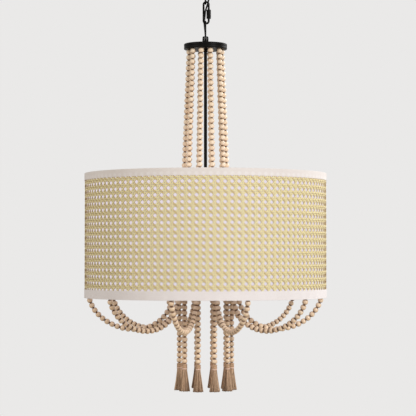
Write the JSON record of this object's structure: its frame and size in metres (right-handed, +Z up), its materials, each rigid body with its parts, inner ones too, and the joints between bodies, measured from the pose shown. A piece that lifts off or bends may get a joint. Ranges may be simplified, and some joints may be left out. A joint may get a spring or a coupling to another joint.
{
  "type": "beaded drum chandelier",
  "caption": "Drum pendant of woven cane on a short chain, with wooden bead strands, bead swags, tassels and candle lamps inside.",
  "frame": {"origin": "middle of the canopy at the ceiling plane, on top of the mounting crossbar", "axes": "+Z up into the ceiling; the side in the picture faces -Y, with +X to its right"},
  "size_m": [0.56, 0.56, 0.9907],
  "materials": {
    "black_metal": "satin black powder coat",
    "bright_steel": "zinc-plated steel, hidden fittings",
    "cane_weave": "six-way rattan cane webbing, pale gold",
    "liner_film": "translucent white shade liner behind the cane",
    "trim_cloth": "off-white linen binding",
    "wood_beads": "natural pale beech beads, unvarnished; the tassels below them are taupe cotton",
    "cord_cover": "black flex",
    "porcelain": "white lamp holders",
    "bulb_glass": "frosted candle bulbs"
  },
  "bodies": {
    "ceiling_part": {"mounting_crossbar": "bright_steel", "ceiling_canopy": "black_metal", "canopy_loop": "black_metal", "power_cord": "cord_cover"},
    "upper_link": {"chain_link_upper": "black_metal"},
    "quick_link_body": {"quick_link": "black_metal"},
    "sleeve_body": {"quick_link_sleeve": "black_metal"},
    "lower_link": {"chain_link_lower": "black_metal"},
    "fixture": {"stem_clevis": "black_metal", "stem_pin": "bright_steel", "crown_disc": "black_metal", "centre_rod": "black_metal", "lamp_cluster": "black_metal", "bottom_frame": "black_metal", "rod_finial": "black_metal", "shade_top_ring": "bright_steel", "cane_drum": "cane_weave", "shade_liner": "liner_film", "top_trim": "trim_cloth", "bottom_trim": "trim_cloth", "lamp_socket_1": "porcelain", "lamp_socket_2": "porcelain", "lamp_socket_3": "porcelain", "lamp_socket_4": "porcelain", "lamp_socket_5": "porcelain", "bulb_1": "bulb_glass", "bulb_2": "bulb_glass", "bulb_3": "bulb_glass", "bulb_4": "bulb_glass", "bulb_5": "bulb_glass", "upper_strand_1": "wood_beads", "upper_strand_2": "wood_beads", "upper_strand_3": "wood_beads", "upper_strand_4": "wood_beads", "upper_strand_5": "wood_beads", "upper_strand_6": "wood_beads", "upper_strand_7": "wood_beads", "upper_strand_8": "wood_beads", "upper_strand_9": "wood_beads", "upper_strand_10": "wood_beads"},
    "swag_body_1": {"swag_1": "wood_beads"},
    "tassel_body_1": {"tassel_strand_1": "wood_beads"},
    "swag_body_2": {"swag_2": "wood_beads"},
    "tassel_body_2": {"tassel_strand_2": "wood_beads"},
    "swag_body_3": {"swag_3": "wood_beads"},
    "tassel_body_3": {"tassel_strand_3": "wood_beads"},
    "swag_body_4": {"swag_4": "wood_beads"},
    "tassel_body_4": {"tassel_strand_4": "wood_beads"},
    "swag_body_5": {"swag_5": "wood_beads"},
    "tassel_body_5": {"tassel_strand_5": "wood_beads"},
    "swag_body_6": {"swag_6": "wood_beads"},
    "tassel_body_6": {"tassel_strand_6": "wood_beads"},
    "swag_body_7": {"swag_7": "wood_beads"},
    "tassel_body_7": {"tassel_strand_7": "wood_beads"},
    "swag_body_8": {"swag_8": "wood_beads"},
    "tassel_body_8": {"tassel_strand_8": "wood_beads"},
    "swag_body_9": {"swag_9": "wood_beads"},
    "tassel_body_9": {"tassel_strand_9": "wood_beads"},
    "swag_body_10": {"swag_10": "wood_beads"},
    "tassel_body_10": {"tassel_strand_10": "wood_beads"}
  },
  "joints": [
    {"name": "upper_link_swing", "type": "hinge", "parent": "ceiling_part", "child": "upper_link", "pos_m": [0, 0, -0.045], "axis": [0, 1, 0], "range_deg": [-25, 25], "deforming": ["power_cord"]},
    {"name": "quick_link_swing", "type": "hinge", "parent": "upper_link", "child": "quick_link_body", "pos_m": [0, 0, -0.0907], "axis": [1, 0, 0], "range_deg": [-25, 25]},
    {"name": "lower_link_swing", "type": "hinge", "parent": "quick_link_body", "child": "lower_link", "pos_m": [0, 0, -0.1364], "axis": [0, 1, 0], "range_deg": [-25, 25]},
    {"name": "fixture_swing", "type": "hinge", "parent": "lower_link", "child": "fixture", "pos_m": [0, 0, -0.1821], "axis": [1, 0, 0], "range_deg": [-25, 25]},
    {"name": "sleeve_travel", "type": "slide", "parent": "quick_link_body", "child": "sleeve_body", "axis": [0, 0, 1], "range_m": [0, 0.01]},
    {"name": "swag_1_swing", "type": "hinge", "parent": "fixture", "child": "swag_body_1", "pos_m": [0.05866, -0.16116, -0.7626], "axis": [0.342, -0.9397, 0], "range_deg": [-25, 25]},
    {"name": "swag_2_swing", "type": "hinge", "parent": "fixture", "child": "swag_body_2", "pos_m": [0.14218, -0.0959, -0.7626], "axis": [0.829, -0.5592, 0], "range_deg": [-25, 25]},
    {"name": "swag_3_swing", "type": "hinge", "parent": "fixture", "child": "swag_body_3", "pos_m": [0.1714, 0.00598, -0.7626], "axis": [0.9994, 0.0349, 0], "range_deg": [-25, 25]},
    {"name": "swag_4_swing", "type": "hinge", "parent": "fixture", "child": "swag_body_4", "pos_m": [0.13514, 0.10559, -0.7626], "axis": [0.788, 0.6157, 0], "range_deg": [-25, 25]},
    {"name": "swag_5_swing", "type": "hinge", "parent": "fixture", "child": "swag_body_5", "pos_m": [0.04727, 0.16486, -0.7626], "axis": [0.2756, 0.9613, 0], "range_deg": [-25, 25]},
    {"name": "swag_6_swing", "type": "hinge", "parent": "fixture", "child": "swag_body_6", "pos_m": [-0.05866, 0.16116, -0.7626], "axis": [-0.342, 0.9397, 0], "range_deg": [-25, 25]},
    {"name": "swag_7_swing", "type": "hinge", "parent": "fixture", "child": "swag_body_7", "pos_m": [-0.14218, 0.0959, -0.7626], "axis": [-0.829, 0.5592, 0], "range_deg": [-25, 25]},
    {"name": "swag_8_swing", "type": "hinge", "parent": "fixture", "child": "swag_body_8", "pos_m": [-0.1714, -0.00598, -0.7626], "axis": [-0.9994, -0.0349, 0], "range_deg": [-25, 25]},
    {"name": "swag_9_swing", "type": "hinge", "parent": "fixture", "child": "swag_body_9", "pos_m": [-0.13514, -0.10559, -0.7626], "axis": [-0.788, -0.6157, 0], "range_deg": [-25, 25]},
    {"name": "swag_10_swing", "type": "hinge", "parent": "fixture", "child": "swag_body_10", "pos_m": [-0.04727, -0.16486, -0.7626], "axis": [-0.2756, -0.9613, 0], "range_deg": [-25, 25]},
    {"name": "tassel_1_swing", "type": "hinge", "parent": "fixture", "child": "tassel_body_1", "pos_m": [0.02062, -0.05666, -0.7626], "axis": [0.9397, 0.342, 0], "range_deg": [-10, 5]},
    {"name": "tassel_2_swing", "type": "hinge", "parent": "fixture", "child": "tassel_body_2", "pos_m": [0.04999, -0.03372, -0.7626], "axis": [0.5592, 0.829, 0], "range_deg": [-10, 5]},
    {"name": "tassel_3_swing", "type": "hinge", "parent": "fixture", "child": "tassel_body_3", "pos_m": [0.06026, 0.0021, -0.7626], "axis": [-0.0349, 0.9994, 0], "range_deg": [-10, 5]},
    {"name": "tassel_4_swing", "type": "hinge", "parent": "fixture", "child": "tassel_body_4", "pos_m": [0.04752, 0.03712, -0.7626], "axis": [-0.6157, 0.788, 0], "range_deg": [-10, 5]},
    {"name": "tassel_5_swing", "type": "hinge", "parent": "fixture", "child": "tassel_body_5", "pos_m": [0.01662, 0.05796, -0.7626], "axis": [-0.9613, 0.2756, 0], "range_deg": [-10, 5]},
    {"name": "tassel_6_swing", "type": "hinge", "parent": "fixture", "child": "tassel_body_6", "pos_m": [-0.02062, 0.05666, -0.7626], "axis": [-0.9397, -0.342, 0], "range_deg": [-10, 5]},
    {"name": "tassel_7_swing", "type": "hinge", "parent": "fixture", "child": "tassel_body_7", "pos_m": [-0.04999, 0.03372, -0.7626], "axis": [-0.5592, -0.829, 0], "range_deg": [-10, 5]},
    {"name": "tassel_8_swing", "type": "hinge", "parent": "fixture", "child": "tassel_body_8", "pos_m": [-0.06026, -0.0021, -0.7626], "axis": [0.0349, -0.9994, 0], "range_deg": [-10, 5]},
    {"name": "tassel_9_swing", "type": "hinge", "parent": "fixture", "child": "tassel_body_9", "pos_m": [-0.04752, -0.03712, -0.7626], "axis": [0.6157, -0.788, 0], "range_deg": [-10, 5]},
    {"name": "tassel_10_swing", "type": "hinge", "parent": "fixture", "child": "tassel_body_10", "pos_m": [-0.01662, -0.05796, -0.7626], "axis": [0.9613, -0.2756, 0], "range_deg": [-10, 5]}
  ]
}
